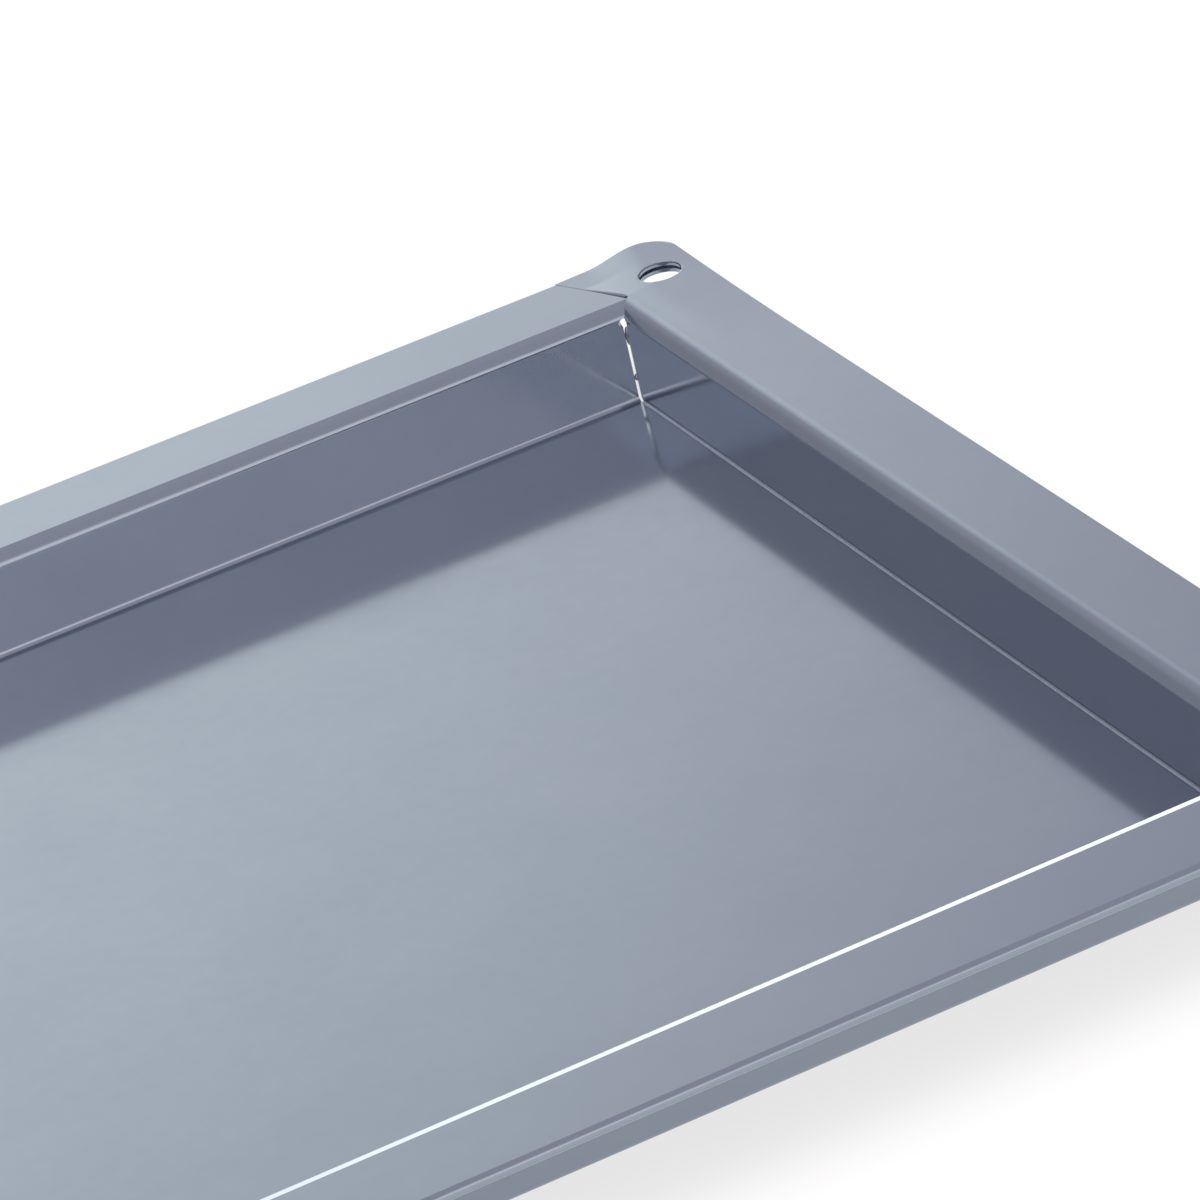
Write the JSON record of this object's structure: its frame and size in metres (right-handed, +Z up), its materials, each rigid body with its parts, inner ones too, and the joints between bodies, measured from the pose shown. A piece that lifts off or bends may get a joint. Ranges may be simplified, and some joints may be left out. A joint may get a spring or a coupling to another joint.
{
  "type": "gastronorm baking tray",
  "caption": "Shallow rectangular baking tray of folded blued steel sheet, with hemmed long rims, lapped corner ears with hanging holes and open tacked corner seams",
  "frame": {"origin": "under the middle of the floor, on the surface that the tray stands on", "axes": "+X along the tray's length towards the right-hand end, +Y across it towards the back, +Z up out of the tray"},
  "size_m": [0.53, 0.325, 0.0223],
  "materials": {
    "blued_steel": "smooth cold-rolled sheet with a blue-grey oxide, satin gloss",
    "seam_weld": "small bare weld metal, satin"
  },
  "bodies": {
    "root": {"pan_sheet": "blued_steel", "end_panel_left": "blued_steel", "end_panel_right": "blued_steel", "floor_seam_left": "seam_weld", "floor_seam_right": "seam_weld", "corner_tack_back_left_lower": "seam_weld", "corner_tack_back_left_upper": "seam_weld", "corner_tack_back_right_lower": "seam_weld", "corner_tack_back_right_upper": "seam_weld", "corner_tack_front_left_lower": "seam_weld", "corner_tack_front_left_upper": "seam_weld", "corner_tack_front_right_lower": "seam_weld", "corner_tack_front_right_upper": "seam_weld"}
  },
  "joints": []
}
